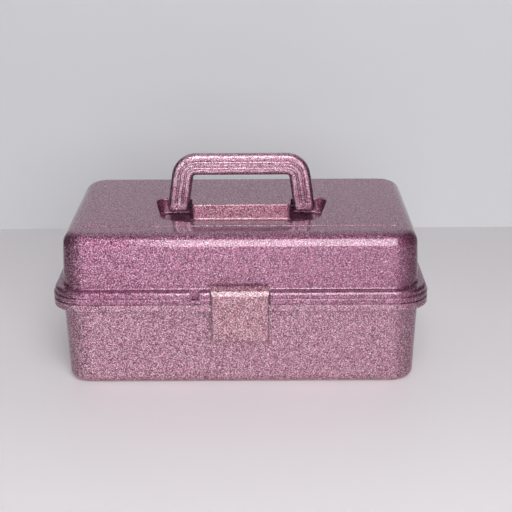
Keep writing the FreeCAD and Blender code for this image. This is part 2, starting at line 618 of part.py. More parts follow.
def carry_handle():
    """Bow of flat strip with softened edges and two long grooves in each face."""
    body = new_body("carry_handle")
    bow = new_sketch(body, "handle_bow", "XZ", "-handle_back")
    handle_band(bow, "0", "handle_strip", "0", "handle_foot_corner")
    pad(body, bow, "handle_thick", symmetric=True)
    faces = [now("handle_back + handle_thick / 2"), now("handle_back - handle_thick / 2")]

    def on_face(edge):
        box = edge.BoundBox
        return box.YLength < TOUCH and min(abs(box.YMin - face) for face in faces) < TOUCH

    round_edges(body, "handle_edges", "handle_edge", on_face)
    for front in (True, False):
        place = "-handle_back + handle_thick / 2" if front else "-handle_back - handle_thick / 2"
        for side in (-1, 1):
            groove = new_sketch(body, "handle_groove", "XZ", place)
            handle_band(groove, "(%d) * groove_offset" % side, "groove_width", "groove_start",
                        "full_round * groove_width / 2")
            pocket(body, groove, "groove_depth", reverse=not front)
    floors = [face + now("groove_depth") * turn for face, turn in zip(faces, (-1, 1))]

    def on_floor(edge):
        box = edge.BoundBox
        return box.YLength < TOUCH and min(abs(box.YMin - floor) for floor in floors) < TOUCH

    round_edges(body, "groove_floors", "groove_round", on_floor)
    eye = new_sketch(body, "handle_eye", "YZ", "0")
    circle(eye, "handle_back", HANDLE_Z, "handle_pin_radius + running")
    pocket(body, eye, "2 * (%s + running)" % HANDLE_PIN_END, symmetric=True)
    return body


# ---------------------------------------------------------------- latch
def latch_plate():
    """Latch moulded in one piece: barrel, cheeks, plate and the hook that catches the base rim."""
    body = new_body("latch_plate")
    side = new_sketch(body, "latch_side", "YZ", "0")
    back = LATCH_Y + " + latch_barrel"
    top = LATCH_Z + " + latch_barrel"
    under = LATCH_Z + " - latch_barrel"
    brow = "seam_height + latch_brow_rise"
    bottom = "seam_height - latch_drop"
    inner = LATCH_FRONT + " + latch_plate"
    bend = "latch_barrel * full_round"
    outline(side, [
        (LATCH_FRONT, bottom, SHARP),
        (inner, bottom, SHARP),
        (inner, under, "latch_plate / 2"),
        (back, under, bend),
        (back, top, bend),
        (LATCH_Y + " - latch_crown_ahead", top, "latch_crown_round"),
        (LATCH_FRONT + " + latch_bevel", brow, "latch_brow_round"),
        (LATCH_FRONT, brow + " - latch_bevel_drop", SHARP),
    ])
    pad(body, side, "latch_width", symmetric=True)
    front = now(LATCH_FRONT) + TOUCH

    def outer_edge(edge):
        box = edge.BoundBox
        return box.YMax < front

    round_edges(body, "latch_edges", "latch_edge", outer_edge)
    hollow = new_sketch(body, "latch_inside", "YZ", "0")
    near = LATCH_Y + " - latch_hollow"
    far = back + " + overcut"
    low = under + " - overcut"
    roof = LATCH_Z + " + latch_hollow"
    outline(hollow, [(near, low, SHARP), (far, low, SHARP), (far, roof, SHARP),
                     (near, roof, "latch_hollow * full_round")])
    pocket(body, hollow, "latch_width - 2 * latch_cheek", symmetric=True)
    for hand in (-1, 1):
        slot = new_sketch(body, "lug_slot", "XY", LATCH_Z)
        left = "(%d) * (lug_inner + lug_width / 2) - lug_width / 2 - lug_clear" % hand
        right = "(%d) * (lug_inner + lug_width / 2) + lug_width / 2 + lug_clear" % hand
        rectangle(slot, left, LATCH_Y, right, back + " + overcut")
        pocket(body, slot, "latch_barrel + overcut", reverse=True)
    hook = new_sketch(body, "latch_hook", "YZ", "0")
    seat = "(seam_height - base_rim_height - hook_drop)"
    tip = "-rim_depth / 2 + hook_reach"
    root = inner + " - latch_plate / 2"
    outline(hook, [(root, seat + " - hook_height", SHARP), (tip, seat + " - hook_nose", "hook_lower_round"),
                   (tip, seat, "hook_upper_round"), (root, seat + " + hook_slope", SHARP)])
    pad(body, hook, "2 * hook_half", symmetric=True)
    for hand in (-1, 1):
        bore(body, "latch_pin_hole", hand, LATCH_Y, LATCH_Z, "latch_pin_radius + running",
             "latch_width / 2 - latch_cheek - overcut", "latch_width / 2 + overcut")
    return body


# ---------------------------------------------------------------- trays
def tray(name, bottom, height, rib, runs, pivots, eared):
    """An open tray with one rib along it, grooves for loose dividers and a hole at each pivot."""
    body = new_body(name)
    form = new_sketch(body, name + "_form", "XY", bottom)
    rectangle(form, "-" + TRAY_SIDE, "-" + TRAY_FRONT, TRAY_SIDE, TRAY_BACK, "tray_corner")
    pad(body, form, height)
    round_edges(body, name + "_bottom_round", "tray_round", lambda edge: level(edge, now(bottom)))
    top = "%s + %s" % (bottom, height)
    outer_corner = "tray_corner - tray_wall"
    corners = [(outer_corner, "cell_corner"), ("cell_corner", outer_corner)]
    for (front, back), (front_round, back_round), count in zip(tray_rows(rib), corners, runs):
        cell = new_sketch(body, name + "_cell", "XY", top)
        inner_side = TRAY_SIDE + " - tray_wall"
        outline(cell, [("-(%s)" % inner_side, front, front_round), (inner_side, front, front_round),
                       (inner_side, back, back_round), ("-(%s)" % inner_side, back, back_round)])
        pocket(body, cell, "%s - tray_wall" % height)
        for step in range(1 - count, count, 2):
            middle = "(%d) * divider_pitch / 2" % step
            slot = new_sketch(body, name + "_slot", "XY", top)
            half = "(divider_thick + divider_play) / 2"
            rectangle(slot, "%s - %s" % (middle, half), front + " - divider_groove",
                      "%s + %s" % (middle, half), back + " + divider_groove")
            pocket(body, slot, "%s - tray_wall" % height)
    for side in (-1, 1):
        if eared:
            across, up = pivots[-1]
            ear = new_sketch(body, name + "_ear", "YZ", "(%d) * %s" % (side, TRAY_SIDE))
            root = TRAY_BACK + " - tray_corner - arm_eye"
            tip = across + " + arm_eye"
            low = up + " - arm_eye"
            high = up + " + arm_eye"
            bend = "arm_eye * full_round"
            outline(ear, [(root, low, SHARP), (tip, low, bend), (tip, high, bend),
                          (across + " - arm_eye", high, "ear_fillet"), (across + " - arm_eye", top, SHARP),
                          (root, top, SHARP)])
            pad(body, ear, "tray_wall", reverse=side > 0)
        for across, up in pivots:
            bore(body, name + "_pivot", side, across, up, "rivet_radius + running",
                 TRAY_SIDE + " - tray_wall - overcut", TRAY_SIDE + " + overcut")
    return body


def tray_rows(rib):
    """Front and back of the two rows of a tray, inside its walls and beside its rib."""
    ahead = ("-%s + tray_wall" % TRAY_FRONT, rib + " - tray_rib / 2")
    behind = (rib + " + tray_rib / 2", TRAY_BACK + " - tray_wall")
    return [ahead, behind]


def dividers(name, bottom, height, places):
    """Loose upright plates that stand in the grooves of a tray."""
    plates = []
    for (front, back), step in places:
        plate = doc.addObject("Part::Box", name + "_plate")
        reach = "(divider_groove - divider_play / 2)"
        bind(plate, Length="divider_thick", Width="%s - (%s) + 2 * %s" % (back, front, reach),
             Height="%s - tray_wall - divider_short" % height,
             Placement__Base__x="(%d) * divider_pitch / 2 - divider_thick / 2" % step,
             Placement__Base__y="%s - %s" % (front, reach), Placement__Base__z="%s + tray_wall" % bottom)
        plates.append(plate)
    return group(name, plates)


# ---------------------------------------------------------------- links
def link_holes(body, name, side, places, radius):
    """Round holes through a link."""
    for across, up in places:
        bore(body, name, side, across, up, radius, LINK_INNER + " - overcut", LINK_OUTER + " + overcut")


def link_sinks(body, name, side, places):
    """Round recesses for flat heads in the inner face of a link."""
    floor = LINK_INNER + " + flush_head_height + flush_play"
    for across, up in places:
        bore(body, name, side, across, up, "flush_head + flush_play", LINK_INNER + " - overcut", floor)


def front_arm(side, label):
    """Cranked arm: base pivot, lower tray pivot, upper tray pivot."""
    body = new_body(label)
    plate = new_sketch(body, label + "_plate", "YZ", "(%d) * %s" % (side, LINK_INNER))
    bend = "arm_eye * full_round"
    (low_y, low_z), (high_y, high_z) = LOW_FRONT, HIGH_FRONT
    outline(plate, [
        (high_y + " - arm_eye", high_z + " - arm_eye", bend),
        (low_y + " - arm_eye", low_z + " - arm_eye", bend),
        (ARM_Y + " + arm_eye", ARM_Z + " - arm_eye", bend),
        (ARM_Y + " + arm_eye", ARM_Z + " + arm_eye", bend),
        (low_y + " + arm_eye", low_z + " + arm_crank_rise", "arm_crank_round"),
        (high_y + " + arm_eye", high_z + " + arm_eye", bend),
        (high_y + " - arm_eye", high_z + " + arm_eye", bend),
    ])
    pad(body, plate, "link_thick", reverse=side < 0)
    link_holes(body, label + "_eye", side, [(ARM_Y, ARM_Z), LOW_FRONT, HIGH_FRONT], "rivet_radius + running")
    link_sinks(body, label + "_sink", side, [(ARM_Y, ARM_Z)])
    return body


def lid_bracket(side, label):
    """Plate screwed inside the lid, with the rear pivots of both trays."""
    body = new_body(label)
    plate = new_sketch(body, label + "_plate", "YZ", "(%d) * %s" % (side, LINK_INNER))
    (low_y, low_z), (high_y, high_z) = LOW_REAR, HIGH_REAR
    (a_y, a_z), (b_y, b_z) = SCREWS
    eye = "bracket_eye"
    bend = "bracket_eye * full_round"
    outline(plate, [
        ("%s - %s" % (high_y, eye), "%s - %s" % (high_z, eye), bend),
        ("%s - %s" % (low_y, eye), "%s - %s" % (high_z, eye), eye),
        ("%s - %s" % (low_y, eye), "%s - %s" % (low_z, eye), bend),
        ("%s + %s" % (low_y, eye), "%s - %s" % (low_z, eye), bend),
        ("%s + %s" % (b_y, eye), "%s - %s" % (b_z, eye), bend),
        ("%s + %s" % (b_y, eye), "%s + %s" % (b_z, eye), bend),
        (a_y, "%s + %s" % (a_z, eye), eye),
        ("%s - %s" % (high_y, eye), "%s + %s" % (high_z, eye), bend),
    ])
    pad(body, plate, "link_thick", reverse=side < 0)
    link_holes(body, label + "_eye", side, [LOW_REAR, HIGH_REAR], "rivet_radius + running")
    link_holes(body, label + "_hole", side, SCREWS, "screw_radius + running")
    link_sinks(body, label + "_sink", side, SCREWS)
    return body


# ---------------------------------------------------------------- pins, rivets and screws
def rod(name, radius, length, start, across, up):
    """A round bar along X that starts at a place on the X axis."""
    bar = doc.addObject("Part::Cylinder", name)
    bar.Placement.Rotation = FreeCAD.Rotation(FreeCAD.Vector(0, 0, 1), FreeCAD.Vector(1, 0, 0))
    bind(bar, Radius=radius, Height=length, Placement__Base__x=start, Placement__Base__y=across,
         Placement__Base__z=up)
    return bar


def rivet_head(name, start, outward, across, up):
    """A low conical head along X, wide at its seat; outward is 1 or -1."""
    head = doc.addObject("Part::Cone", name)
    head.Placement.Rotation = FreeCAD.Rotation(FreeCAD.Vector(0, 0, 1), FreeCAD.Vector(outward, 0, 0))
    bind(head, Radius1="rivet_head", Radius2="rivet_crown", Height="rivet_head_height",
         Placement__Base__x=start, Placement__Base__y=across, Placement__Base__z=up)
    return head


def fuse(name, pieces):
    joined = doc.addObject("Part::MultiFuse", name)
    joined.Shapes = pieces
    return joined


def group(name, pieces):
    """Separate solids that share one node."""
    bundle = doc.addObject("Part::Compound", name)
    bundle.Links = pieces
    bundle.Label = name
    return bundle


def spanning_rivet(name, side, across, up):
    """Rivet through a tray wall and a link, with a head at each end."""
    inner = "(%s - tray_wall)" % TRAY_SIDE
    left = "-" + LINK_OUTER if side < 0 else inner
    shank = rod(name + "_shank", "rivet_radius", "%s - %s" % (LINK_OUTER, inner), left, across, up)
    heads = []
    for face, outward in ((inner, -side), (LINK_OUTER, side)):
        start = "(%d) * %s" % (side, face)
        heads.append(rivet_head(name + "_head", start, outward, across, up))
    return fuse(name, [shank] + heads)


def sunk_fastener(name, side, across, up, radius, stop):
    """Rivet or screw whose flat head lies in the inner face of a link and whose shank runs into a boss."""
    head_face = LINK_INNER + " + flush_play"
    head_root = head_face + " + flush_head_height"
    head_start = "(%d) * (%s)" % (side, head_face if side > 0 else head_root)
    head = rod(name + "_head", "flush_head", "flush_head_height", head_start, across, up)
    shank_start = "(%d) * (%s)" % (side, head_face if side > 0 else stop)
    shank = rod(name + "_shank", radius, "%s - (%s)" % (stop, head_face), shank_start, across, up)
    return fuse(name, [shank, head])


def tray_rivets(label, pivots):
    rivets = [spanning_rivet(label + "_one", side, across, up) for side in (-1, 1) for across, up in pivots]
    return group(label, rivets)


LOWER_RIB = LOW_FRONT[0] + " + rib_behind"
UPPER_RIB = HIGH_FRONT[0] + " + rib_behind"

# ---------------------------------------------------------------- the assembly
nodes = [base_shell(), lid_shell(), carry_handle(), latch_plate()]

for side, hand in ((-1, "left"), (1, "right")):
    centre = "(%d) * hinge_station" % side
    pin_length = "3 * knuckle_length + 2 * knuckle_gap"
    pin_start = "%s - (%s) / 2" % (centre, pin_length)
    hinge_pin = rod("hinge_pin_" + hand, "hinge_pin_radius", pin_length, pin_start, HINGE_Y, HINGE_Z)
    inner = "(block_half - pin_land)"
    handle_pin = rod("handle_pin_" + hand, "handle_pin_radius", "%s - %s" % (HANDLE_PIN_END, inner),
                     "-" + HANDLE_PIN_END if side < 0 else inner, "handle_back", HANDLE_Z)
    links = [front_arm(side, "front_arm_" + hand), lid_bracket(side, "lid_bracket_" + hand)]
    nodes += [hinge_pin, handle_pin] + links

nodes.append(rod("latch_pin", "latch_pin_radius", "latch_width - 2 * latch_pin_short",
                 "latch_pin_short - latch_width / 2", LATCH_Y, LATCH_Z))
nodes.append(tray("lower_tray", LOWER_TRAY_BOTTOM, "lower_tray_height", LOWER_RIB, (3, 4),
                  [LOW_FRONT, LOW_REAR], True))
nodes.append(tray("upper_tray", UPPER_TRAY_BOTTOM, "upper_tray_height", UPPER_RIB, (2, 4),
                  [HIGH_FRONT, HIGH_REAR], False))
lower_rows = tray_rows(LOWER_RIB)
upper_rows = tray_rows(UPPER_RIB)
nodes.append(dividers("lower_tray_dividers", LOWER_TRAY_BOTTOM, "lower_tray_height",
                      [(lower_rows[0], 0), (lower_rows[1], -1)]))
nodes.append(dividers("upper_tray_dividers", UPPER_TRAY_BOTTOM, "upper_tray_height",
                      [(upper_rows[1], -1), (upper_rows[1], 1)]))
nodes.append(tray_rivets("lower_tray_rivets", [LOW_FRONT, LOW_REAR]))
nodes.append(tray_rivets("upper_tray_rivets", [HIGH_FRONT, HIGH_REAR]))
nodes.append(group("arm_rivets", [sunk_fastener("arm_rivet", side, ARM_Y, ARM_Z, "rivet_radius", ARM_BOSS_END)
                                  for side in (-1, 1)]))
for hand, side in (("left", -1), ("right", 1)):
    screws = []
    for (across, up), stop in zip(SCREWS, SCREW_STOPS):
        screws.append(sunk_fastener("bracket_screw", side, across, up, "screw_radius", stop))
    nodes.append(group("bracket_screws_" + hand, screws))

doc.recompute()

# ---------------------------------------------------------------- checks and export
for thing in doc.Objects:
    if "Invalid" in thing.State or "Error" in thing.State:
        raise RuntimeError("%s is %s" % (thing.Label, thing.State))
os.makedirs("parts", exist_ok=True)
for node in nodes:
    if node.Shape.isNull() or not node.Shape.isValid():
        raise RuntimeError(node.Label + " has no valid shape")
for node in nodes:
    node.Shape.exportStep("parts/%s.step" % node.Label)
    box = node.Shape.BoundBox
    print("%-22s %2d solids %9.0f mm3  x %7.1f %7.1f  y %7.1f %7.1f  z %6.1f %6.1f" % (
        node.Label, len(node.Shape.Solids), node.Shape.Volume, box.XMin, box.XMax, box.YMin, box.YMax,
        box.ZMin, box.ZMax))
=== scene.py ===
# %% [markdown]
# # A glittery vanity case with a carry handle
# The case is a box of injection-moulded plastic: a tub, a hinged lid with a well for its handle,
# a snap latch on the front and two trays that swing up with the lid. Every solid comes from the
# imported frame. This lesson gives each of them the finish of the real piece, adds a pale table and
# soft studio light, and looks at the case from slightly above its front.

# %% Load the frame
import math

import bpy
import numpy as np
from mathutils import Matrix, Vector

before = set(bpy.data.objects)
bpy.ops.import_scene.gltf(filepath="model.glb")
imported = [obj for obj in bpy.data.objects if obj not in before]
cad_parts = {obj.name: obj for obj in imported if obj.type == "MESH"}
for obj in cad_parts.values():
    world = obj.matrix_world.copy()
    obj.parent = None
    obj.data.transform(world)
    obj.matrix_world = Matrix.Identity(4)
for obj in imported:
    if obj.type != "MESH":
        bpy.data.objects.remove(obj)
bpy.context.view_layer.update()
MM = 0.001


# %% [markdown]
# ## Camera
# A small object looks its real size from a metre or so away through a short telephoto lens, which
# keeps its front nearly square. The camera could be aimed by a Track To constraint, but that
# doesn't hold a slight roll. So its axes are worked out from pitch, yaw and roll and put into its
# matrix, with the view along minus the last axis, because Blender's camera looks along its own -Z.

# %% Camera
PIXELS = 512
FOCAL_PIXELS = 1300
SENSOR_MM = 36
CLIP_START = 0.05
CAMERA_PLACE = (0.01954, -1.16357, 0.46819)
PITCH, YAW, ROLL = (math.radians(angle) for angle in (18.151, 0.306, 0.362))

camera_data = bpy.data.cameras.new("camera")
camera_data.sensor_width = SENSOR_MM
camera_data.lens = SENSOR_MM * FOCAL_PIXELS / PIXELS
camera_data.clip_start = CLIP_START
camera = bpy.data.objects.new("camera", camera_data)
bpy.context.scene.collection.objects.link(camera)

yaw_turn = Matrix.Rotation(YAW, 3, "Z")
ahead = yaw_turn @ Vector((0, math.cos(PITCH), -math.sin(PITCH)))
across = yaw_turn @ Vector((1, 0, 0))
down = yaw_turn @ Vector((0, -math.sin(PITCH), -math.cos(PITCH)))
right = math.cos(ROLL) * across + math.sin(ROLL) * down
up = math.sin(ROLL) * across - math.cos(ROLL) * down
axes = Matrix((right, up, -ahead)).transposed()
camera.matrix_world = Matrix.Translation(CAMERA_PLACE) @ axes.to_4x4()
bpy.context.scene.camera = camera
print("lens %.1f mm" % camera_data.lens)

# %% [markdown]
# ## Helpers for materials
# Colours are written as sRGB hex values, as a paint maker gives them, and turned to the linear
# values that Blender's sockets take. Nodes could be made and linked line by line, but one function
# that adds a node with its settings, links and stops keeps each material short.

# %% Colour and node helpers
def linear(hex_colour):
    """sRGB hex to linear RGBA: c / 12.92 near black, else ((c + 0.055) / 1.055) ** 2.4."""
    parts = np.array([int(hex_colour[place:place + 2], 16) for place in (1, 3, 5)]) / 255
    values = np.where(parts <= 0.04045, parts / 12.92, ((parts + 0.055) / 1.055) ** 2.4)
    return (*values.tolist(), 1)


def add_node(tree, kind, inputs=None, stops=(), **settings):
    """Adds one node. Inputs map a socket's name or number to a value or to another node's output.
    Stops are a colour ramp's pairs of a place and a colour, in hex or in linear values."""
    node = tree.nodes.new(kind)
    for name, value in settings.items():
        setattr(node, name, value)
    for socket, value in (inputs or {}).items():
        if isinstance(value, bpy.types.NodeSocket):
            tree.links.new(value, node.inputs[socket])
        else:
            node.inputs[socket].default_value = value
    if stops:
        elements = node.color_ramp.elements
        while len(elements) < len(stops):
            elements.new(1)
        for element, (place, colour) in zip(elements, stops):
            element.position = place
            element.color = linear(colour) if isinstance(colour, str) else colour
    return node


def new_material(name):
    """An empty node material and its output node."""
    material = bpy.data.materials.new(name)
    material.use_nodes = True
    material.node_tree.nodes.clear()
    output = add_node(material.node_tree, "ShaderNodeOutputMaterial")
    return material, material.node_tree, output


print("pink in linear values:", [round(value, 3) for value in linear("#D8A0B8")[:3]])

# %% [markdown]
# ## Glitter plastic
# The shells are clear, mauve-tinted polypropylene with flakes of metallised film mixed in before
# moulding. The mould is polished, so the outside is a smooth clear skin, and the flakes lie just
# under it, nearly flat but not quite: each catches the light by itself. Chips of real mesh would
# take millions of faces, and a bump map makes slopes that run into each other. So a Voronoi
# pattern gives every flake its own tone, its own tilt and its own gloss. The flakes are the
# shader's base and the clear skin is its coat. A deeply buried flake is dark and strongly tinted
# by the plastic above it, and one near the surface is bright and nearly grey.

# %% Tones of the flakes
# Glitter this fine is smaller than a pixel here, so it is drawn coarse enough to show as speckle.
FLAKE_MM = 0.45
# Each row: a place on the ramp, the strength of the tint there, and how pale it is.
FLAKE_SPREAD = [(0, 0.02, 0.5), (0.3, 0.3, 0.7), (0.6, 0.85, 1), (0.86, 2, 1.3), (1, 4, 1.9)]


def flake_tones(colour):
    """Stops of (place, colour): strength * (grey + (tint - grey) / pale), cut to 0 and 1."""
    tint = np.array(linear(colour)[:3])
    grey = tint.mean()
    stops = []
    for place, strength, pale in FLAKE_SPREAD:
        tone = strength * (grey + (tint - grey) / pale)
        stops.append((place, (*np.clip(tone, 0, 1).tolist(), 1)))
    return stops


print("flakes are", FLAKE_MM, "mm across, in", len(FLAKE_SPREAD), "tones")

# %% [markdown]
# ## Painted light on the wall in the well
# The wall between the two pockets of the handle is lighter than the rest of the lid. What makes it
# so isn't known, and it is as thick as the other walls here. It belongs to the lid's solid, so it
# has no material slot of its own. Its tint simply gets a gain inside a box of object coordinates,
# which is painted light, not a colour of the plastic.

# %% Painted light: a tint raised inside a box
WALL_LOW_MM = (-47, -7.2, 123)
WALL_HIGH_MM = (47, -4, 138.6)
# The gain of the painted light on that wall, per colour channel.
WALL_PAINTED_LIGHT_GAIN = (2, 2.3, 1.75)


def paint_light_in_box(tree, place, tint, low_mm, high_mm, gain):
    """Painted light: the tint times 1 + inside * (gain - 1), where inside is 1 in the box and 0
    outside it.
    """
    inside = 1
    parts = add_node(tree, "ShaderNodeSeparateXYZ", {0: place})
    for axis, low, high in zip("XYZ", low_mm, high_mm):
        middle, half = (low + high) / 2 * MM, (high - low) / 2 * MM
        near = add_node(tree, "ShaderNodeMath", {0: parts.outputs[axis], 1: middle, 2: half},
                        operation="COMPARE")
        inside = add_node(tree, "ShaderNodeMath", {0: near.outputs[0], 1: inside},
                          operation="MULTIPLY").outputs[0]
    extra = [value - 1 for value in gain]
    factor = add_node(tree, "ShaderNodeVectorMath", {0: inside, 1: extra, 2: (1, 1, 1)},
                      operation="MULTIPLY_ADD")
    return add_node(tree, "ShaderNodeVectorMath", {0: tint, 1: factor.outputs[0]},
                    operation="MULTIPLY").outputs[0]


print("lighter wall from", WALL_LOW_MM, "to", WALL_HIGH_MM, "mm")

# %% Shader of the glitter plastic
FLAKE_TILT = 0.6
FLAKE_GLOSS = (0.42, 0.72)
# At a grazing angle the light passes through more of the plastic and comes back in this colour.
EDGE_TINT = "#80405C"
SKIN_ROUGHNESS = 0.1
# Polypropylene has about 1.49. A little more strengthens the highlights on the clear skin.
SKIN_IOR = 1.6


def glitter_plastic(name, colour, tilt=FLAKE_TILT, gloss=FLAKE_GLOSS, coat=1, painted_light=None):
    """Moulded plastic with glitter; the colour is the tint of a middling flake, plus painted light
    in a box if given.
    """
    material, tree, output = new_material(name)
    place = add_node(tree, "ShaderNodeTexCoord").outputs["Object"]
    flakes = add_node(tree, "ShaderNodeTexVoronoi", {"Vector": place, "Scale": 1 / (FLAKE_MM * MM)},
                      voronoi_dimensions="3D", feature="F1")
    chance = add_node(tree, "ShaderNodeSeparateColor", {"Color": flakes.outputs["Color"]})
    tone = add_node(tree, "ShaderNodeValToRGB", {"Fac": chance.outputs["Red"]},
                    stops=flake_tones(colour))
    tint = tone.outputs["Color"]
    # Painted light: the tint is raised inside the given box.
    if painted_light:
        tint = paint_light_in_box(tree, place, tint, *painted_light)
    # A flake's normal is the surface's normal plus its own random lean, made one unit long.
    centred = add_node(tree, "ShaderNodeVectorMath",
                       {0: flakes.outputs["Color"], 1: (0.5, 0.5, 0.5)}, operation="SUBTRACT")
    leaning = add_node(tree, "ShaderNodeVectorMath",
                       {0: centred.outputs[0], 1: (tilt, tilt, tilt)}, operation="MULTIPLY")
    facing = add_node(tree, "ShaderNodeNewGeometry").outputs["Normal"]
    tilted = add_node(tree, "ShaderNodeVectorMath", {0: leaning.outputs[0], 1: facing},
                      operation="ADD")
    flake_normal = add_node(tree, "ShaderNodeVectorMath", {0: tilted.outputs[0]},
                            operation="NORMALIZE")
    rough = add_node(tree, "ShaderNodeMapRange", {
        "Value": chance.outputs["Green"], "To Min": gloss[0], "To Max": gloss[1]})
    shader = add_node(tree, "ShaderNodeBsdfPrincipled", {
        "Base Color": tint, "Normal": flake_normal.outputs[0],
        "Metallic": 1, "Roughness": rough.outputs["Result"], "Specular Tint": linear(EDGE_TINT),
        "Coat Weight": coat, "Coat Roughness": SKIN_ROUGHNESS, "Coat IOR": SKIN_IOR})
    tree.links.new(shader.outputs[0], output.inputs["Surface"])
    return material


# The lean is a point of a cube of side FLAKE_TILT, whose corners are sqrt(3) / 2 sides away.
print("flakes lean by up to %.0f degrees" % math.degrees(math.asin(FLAKE_TILT * math.sqrt(3) / 2)))

# %% [markdown]
# ## Lid, base, handle and latch
# The four glittery pieces are moulded apart, and each has a tint of its own: the lid's is the
# deepest, and the handle's is the palest and glossiest. One material could serve all four, but then
# the lid and the base would run into one.

# %% Four glitter plastics
# The lid's tint gets painted light on the wall in its well.
lid_plastic = glitter_plastic("moulded_glitter_polypropylene_lid", "#AE668A",
                              painted_light=(WALL_LOW_MM, WALL_HIGH_MM, WALL_PAINTED_LIGHT_GAIN))
base_plastic = glitter_plastic("moulded_glitter_polypropylene_base", "#C286A0")
handle_plastic = glitter_plastic("moulded_glitter_polypropylene_handle", "#DC98B2",
                                 tilt=0.5, gloss=(0.34, 0.58), coat=0.8)
latch_plastic = glitter_plastic("moulded_glitter_polypropylene_latch", "#C08498")
print("glitter plastics:", lid_plastic.name, base_plastic.name, handle_plastic.name,
      latch_plastic.name)

# %% [markdown]
# ## Trays and links
# The trays and the links are plain polypropylene from a satin mould, tinted like the shells but
# without glitter. An eroded mould leaves a fine grain. It could be carved into the mesh, but it is
# far too small for that, so a weak bump carries it.

# %% Satin plastic
DRIFT_MM = 40
GRAIN_MM = 0.6
GRAIN_DEPTH_MM = 0.05
GRAIN_STRENGTH = 0.15
SATIN_ROUGHNESS = 0.42
POLYPROPYLENE_IOR = 1.49


def satin_plastic(name, colour, shade):
    """Satin moulded plastic: a soft tone drift and the fine grain of an eroded mould."""
    material, tree, output = new_material(name)
    place = add_node(tree, "ShaderNodeTexCoord").outputs["Object"]
    drift = add_node(tree, "ShaderNodeTexNoise", {
        "Vector": place, "Scale": 1 / (DRIFT_MM * MM), "Detail": 3})
    tone = add_node(tree, "ShaderNodeValToRGB", {"Fac": drift.outputs["Fac"]},
                    stops=[(0.3, shade), (0.7, colour)])
    grain = add_node(tree, "ShaderNodeTexNoise", {
        "Vector": place, "Scale": 1 / (GRAIN_MM * MM), "Detail": 2})
    bump = add_node(tree, "ShaderNodeBump", {
        "Height": grain.outputs["Fac"], "Strength": GRAIN_STRENGTH,
        "Distance": GRAIN_DEPTH_MM * MM})
    shader = add_node(tree, "ShaderNodeBsdfPrincipled", {
        "Base Color": tone.outputs["Color"], "Normal": bump.outputs["Normal"],
        "Roughness": SATIN_ROUGHNESS, "IOR": POLYPROPYLENE_IOR})
    tree.links.new(shader.outputs[0], output.inputs["Surface"])
    return material


tray_plastic = satin_plastic("satin_moulded_polypropylene_tray", "#EAD6DF", "#E2CAD5")
link_plastic = satin_plastic("satin_moulded_polypropylene_link", "#D9BECB", "#CFB0BF")
print("satin plastics:", tray_plastic.name, link_plastic.name)

# %% [markdown]
# ## Pins
# The pins, rivets and screws are drawn steel wire. Bare steel would be brighter, but here its tone
# is darkened as painted shade, so that the ends of the pins don't shine in the well. Drawing leaves
# lines along the wire. A noise that is stretched along X, the axis of every pin, gives them to tone
# and gloss.

# %% Steel darkened as painted shade
LINE_LENGTH_MM = 25
LINE_WIDTH_MM = 0.25
# Dark tones as painted shade; the spread between the two is the drawn lines.
STEEL_TONES = [(0.3, "#2C2A2E"), (0.7, "#423F44")]
STEEL_GLOSS = (0.45, 0.6)


def shade_darkened_steel(name):
    """Drawn steel wire, darkened as painted shade: fine lines along its length, which is X on every
    pin here.
    """
    material, tree, output = new_material(name)
    place = add_node(tree, "ShaderNodeTexCoord").outputs["Object"]
    lengthwise, crosswise = 1 / (LINE_LENGTH_MM * MM), 1 / (LINE_WIDTH_MM * MM)
    stretched = add_node(tree, "ShaderNodeMapping", {
        "Vector": place, "Scale": (lengthwise, crosswise, crosswise)})
    lines = add_node(tree, "ShaderNodeTexNoise", {
        "Vector": stretched.outputs[0], "Scale": 1, "Detail": 2})
    tone = add_node(tree, "ShaderNodeValToRGB", {"Fac": lines.outputs["Fac"]}, stops=STEEL_TONES)
    rough = add_node(tree, "ShaderNodeMapRange", {
        "Value": lines.outputs["Fac"], "To Min": STEEL_GLOSS[0], "To Max": STEEL_GLOSS[1]})
    shader = add_node(tree, "ShaderNodeBsdfPrincipled", {
        "Base Color": tone.outputs["Color"], "Metallic": 1, "Roughness": rough.outputs["Result"]})
    tree.links.new(shader.outputs[0], output.inputs["Surface"])
    return material


pin_steel = shade_darkened_steel("shade_darkened_drawn_steel_wire")
print("steel:", pin_steel.name)

# %% [markdown]
# ## Dress the solids
# The solids of the frame have the shapes of the real pieces, so none of them is modelled again:
# their material slots get the finishes. That could be done piece by piece, but one table of
# finishes and nodes shows at a glance what is made of what, and that no node is left out.

# %% Dress the solids of the frame
FINISHES = {
    base_plastic: ["base_shell"],
    lid_plastic: ["lid_shell"],
    handle_plastic: ["carry_handle"],
    latch_plastic: ["latch_plate"],
    tray_plastic: ["lower_tray", "upper_tray", "lower_tray_dividers", "upper_tray_dividers"],
    link_plastic: ["front_arm_left", "front_arm_right", "lid_bracket_left", "lid_bracket_right"],
    pin_steel: ["hinge_pin_left", "hinge_pin_right", "handle_pin_left", "handle_pin_right",
                "latch_pin", "lower_tray_rivets", "upper_tray_rivets", "arm_rivets",
                "bracket_screws_left", "bracket_screws_right"],
}
for material, names in FINISHES.items():
    for name in names:
        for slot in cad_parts[name].material_slots:
            slot.material = material
    print(material.name, "on", len(names), "nodes")
print("dressed", sum(map(len, FINISHES.values())), "of", len(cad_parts), "nodes")

# %% [markdown]
# ## Table
# The case stands on a white laminate table in front of a pale grey wall. Table and wall are bright
# in the middle, and painted shade darkens them to the sides, the table also to the rear. With the
# room beside them dim, this gives the rounded ends of the case their dark edge. More light would
# make both paler, but it would bleach the case too, so they have a faint glow, which the camera and
# glossy rays see. Satin plastic hardly receives it, but metallic flakes are all gloss and do, so it
# stays weak.

# %% What table and wall share
# Painted shade on table and wall: it begins and is full at these distances aside, in metres.
SHADE_START, SHADE_STOP = 0.3, 0.8


